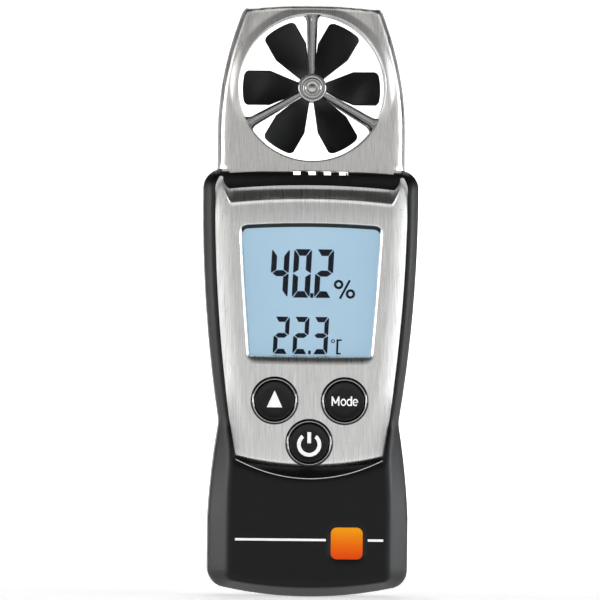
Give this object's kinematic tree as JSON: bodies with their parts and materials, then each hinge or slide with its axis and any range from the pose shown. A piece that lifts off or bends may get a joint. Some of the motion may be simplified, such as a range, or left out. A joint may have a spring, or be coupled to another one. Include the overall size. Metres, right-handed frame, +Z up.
{
  "type": "vane anemometer",
  "caption": "Slim pocket weather meter: a small bladed wheel spins in a round duct in the metal head above a display, three round keys and a flared grip.",
  "frame": {"origin": "bottom centre of the meter's box, standing upright on the end of its grip", "axes": "+Z up along the long axis towards the head, -Y out of the display, +X to the reader's right"},
  "size_m": [0.046, 0.025, 0.1274],
  "materials": {
    "housing_plastic": "fine-textured soft-touch, satin",
    "brushed_plate": "vertical brushed grain, satin",
    "brushed_head": "vertical brushed grain, satin",
    "bridge_metal": "satin",
    "duct_plastic": "satin",
    "vane_plastic": "satin",
    "steel": "plain",
    "jewel": "polished",
    "magnet": "dark nickel",
    "copper_coil": "enamelled wire",
    "lead_sleeve": "soft sleeve",
    "button_cap": "semi-gloss",
    "button_ring": "black chrome, polished",
    "switch_plastic": "plain",
    "switch_plunger": "plain",
    "clear_window": "clear, polished",
    "display_glass": "pale blue, lit",
    "light_guide": "milky",
    "elastomer": "plain",
    "holder_plastic": "plain",
    "board": "solder mask",
    "sensor_polymer": "plain",
    "bead_epoxy": "dipped",
    "ribbon_film": "amber film",
    "grille_plastic": "satin",
    "cell_jacket": "printed sleeve",
    "contact_nickel": "nickel plated",
    "badge_enamel": "amber enamel",
    "door_plastic": "fine-textured, satin"
  },
  "bodies": {
    "root": {"front_shell": "housing_plastic", "rear_shell": "housing_plastic", "faceplate": "brushed_plate", "front_badge": "badge_enamel", "display_window": "clear_window", "lcd_panel": "display_glass", "lcd_backlight": "light_guide", "elastomer_strip": "elastomer", "lcd_holder": "holder_plastic", "main_board": "board", "head_front_frame": "brushed_head", "head_rear_frame": "brushed_head", "front_spider": "bridge_metal", "rear_spider": "bridge_metal", "front_bearing": "jewel", "rear_bearing": "jewel", "duct_liner": "duct_plastic", "pickup_coil": "copper_coil", "pickup_leads": "lead_sleeve", "sensor_board": "board", "humidity_sensor": "sensor_polymer", "temperature_sensor": "bead_epoxy", "sensor_ribbon": "ribbon_film", "front_slot_grille": "grille_plastic", "rear_slot_grille": "grille_plastic", "battery_1": "cell_jacket", "battery_2": "cell_jacket", "negative_contact": "contact_nickel", "positive_contact": "contact_nickel", "link_contact": "contact_nickel", "case_screws": "steel", "board_screws": "steel", "head_screws": "steel", "up_button_ring": "button_ring", "up_switch_housing": "switch_plastic", "mode_button_ring": "button_ring", "mode_switch_housing": "switch_plastic", "power_button_ring": "button_ring", "power_switch_housing": "switch_plastic"},
    "vane": {"impeller": "vane_plastic", "impeller_shaft": "steel", "hub_magnet": "magnet"},
    "door": {"battery_door": "door_plastic"},
    "up_key": {"up_button": "button_cap", "up_switch_plunger": "switch_plunger"},
    "mode_key": {"mode_button": "button_cap", "mode_switch_plunger": "switch_plunger"},
    "power_key": {"power_button": "button_cap", "power_switch_plunger": "switch_plunger"}
  },
  "joints": [
    {"name": "vane_spin", "type": "hinge", "parent": "root", "child": "vane", "pos_m": [0, 0, 0.1091], "axis": [0, 1, 0], "continuous": true},
    {"name": "up_press", "type": "slide", "parent": "root", "child": "up_key", "axis": [0, 1, 0], "range_m": [0, 0.0004], "stiffness_N_per_m": 2500},
    {"name": "mode_press", "type": "slide", "parent": "root", "child": "mode_key", "axis": [0, 1, 0], "range_m": [0, 0.0004], "stiffness_N_per_m": 2500},
    {"name": "power_press", "type": "slide", "parent": "root", "child": "power_key", "axis": [0, 1, 0], "range_m": [0, 0.0004], "stiffness_N_per_m": 2500},
    {"name": "door_slide", "type": "slide", "parent": "root", "child": "door", "axis": [0, 0, -1], "range_m": [0, 0.006]}
  ]
}
